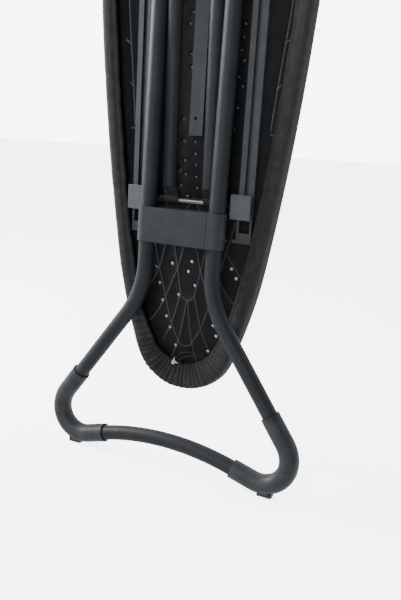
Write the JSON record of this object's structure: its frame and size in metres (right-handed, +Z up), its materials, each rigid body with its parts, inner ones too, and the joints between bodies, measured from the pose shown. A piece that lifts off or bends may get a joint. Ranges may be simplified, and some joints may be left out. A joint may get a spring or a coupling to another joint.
{
  "type": "ironing board",
  "caption": "Folding ironing board with a tapered padded top, a tubular cross-leg frame that slides on rails, and a height rack with release lever.",
  "frame": {"origin": "middle of the overall box at floor level, under the outer foot's soles", "axes": "+Z up along the folded board from nose to heel, +X across to the right, -Y out of the underside where the legs are"},
  "size_m": [0.504, 0.0915, 1.6723],
  "materials": {
    "powder_coat": "satin charcoal powder coat",
    "dark_sheet": "dark painted sheet steel",
    "rail_paint": "satin grey painted steel",
    "zinc": "bright zinc plate",
    "foot_plastic": "moulded charcoal plastic",
    "clamp_plastic": "moulded slate grey plastic",
    "slider_plastic": "moulded light grey plastic",
    "cover_fabric": "fine black woven cotton",
    "felt": "pale needled felt",
    "string": "white braided cord"
  },
  "bodies": {
    "board": {"steel_top": "dark_sheet", "felt_pad": "felt", "cover": "cover_fabric", "drawstring_knot": "string", "left_rail": "rail_paint", "right_rail": "rail_paint", "left_rail_end": "slider_plastic", "right_rail_end": "slider_plastic", "hinge_bracket_left": "rail_paint", "hinge_bracket_right": "rail_paint", "hinge_axle": "zinc", "axle_cap_left": "foot_plastic", "axle_cap_right": "foot_plastic", "hinge_rivets": "zinc", "rack_bracket_left": "rail_paint", "rack_bracket_right": "rail_paint", "lever_bracket": "rail_paint"},
    "height_rack": {"rack_bar": "rail_paint", "rack_shaft": "zinc", "lever_grip": "foot_plastic"},
    "outer_leg": {"outer_leg_tube_left": "powder_coat", "outer_leg_tube_right": "powder_coat", "foot_cross_tube": "powder_coat", "foot_elbow_left": "foot_plastic", "foot_elbow_right": "foot_plastic", "foot_pad_left": "foot_plastic", "foot_pad_right": "foot_plastic", "leg_clamp": "clamp_plastic", "pivot_bolt_left": "zinc", "pivot_bolt_right": "zinc", "pivot_nut_left": "zinc", "pivot_nut_right": "zinc", "pivot_spacer_left": "foot_plastic", "pivot_spacer_right": "foot_plastic"},
    "inner_leg": {"inner_leg_tube_left": "powder_coat", "inner_leg_tube_right": "powder_coat", "inner_foot_cross_tube": "powder_coat", "inner_foot_elbow_left": "foot_plastic", "inner_foot_elbow_right": "foot_plastic", "slide_rod": "zinc", "rod_bush_left": "foot_plastic", "rod_bush_right": "foot_plastic"},
    "sliders": {"slider_block_left": "slider_plastic", "slider_block_right": "slider_plastic"}
  },
  "joints": [
    {"name": "leg_fold", "type": "hinge", "parent": "board", "child": "outer_leg", "pos_m": [0, 0.0248, 1.18708], "axis": [-1, 0, 0], "range_deg": [0, 46]},
    {"name": "leg_cross", "type": "hinge", "parent": "outer_leg", "child": "inner_leg", "pos_m": [0, 0.0003, 0.83794], "axis": [-1, 0, 0], "range_deg": [-92, 0]},
    {"name": "slider_turn", "type": "hinge", "parent": "inner_leg", "child": "sliders", "pos_m": [0, 0.0248, 0.4888], "axis": [-1, 0, 0], "range_deg": [0, 46]},
    {"name": "rack_lift", "type": "hinge", "parent": "board", "child": "height_rack", "pos_m": [0, 0.0243, 0.9368], "axis": [-1, 0, 0], "range_deg": [-0.85, 5], "stiffness_Nm_per_rad": 1.5}
  ],
  "couplings": [
    {"joint": "leg_cross", "follows": "leg_fold", "ratio": -2},
    {"joint": "slider_turn", "follows": "leg_fold", "ratio": 1}
  ]
}
